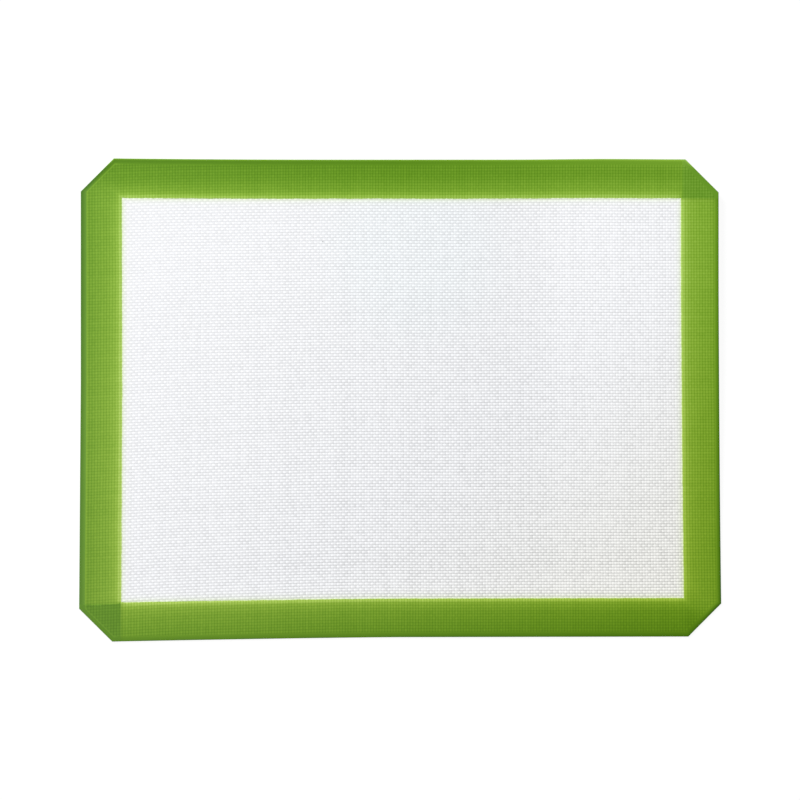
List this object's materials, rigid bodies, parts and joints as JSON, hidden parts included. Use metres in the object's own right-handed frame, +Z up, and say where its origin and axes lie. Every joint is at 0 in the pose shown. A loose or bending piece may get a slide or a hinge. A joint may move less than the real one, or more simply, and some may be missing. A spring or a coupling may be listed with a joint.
{
  "type": "silicone baking mat",
  "caption": "Flat reusable baking mat: silicone on woven glass cloth, with a green border, a sealed edge and cut corners.",
  "frame": {"origin": "middle of the underside, on the surface that the mat lies on", "axes": "+X along the long side to the right, +Y to the rear edge, which is the top edge in the picture, +Z up through the mat"},
  "size_m": [0.4, 0.3, 0.0008],
  "materials": {
    "glass_cloth": "plain woven glass fibre",
    "clear_silicone": "clear, satin, telegraphs the weave",
    "green_silicone": "translucent green, satin",
    "seal_silicone": "translucent green, solid, smooth"
  },
  "bodies": {
    "root": {"glass_cloth": "glass_cloth", "bottom_silicone_skin": "clear_silicone", "top_silicone_skin": "clear_silicone", "edge_seal": "seal_silicone", "rear_left_bottom_border": "green_silicone", "front_right_bottom_border": "green_silicone", "rear_left_top_border": "green_silicone", "front_right_top_border": "green_silicone"}
  },
  "joints": []
}
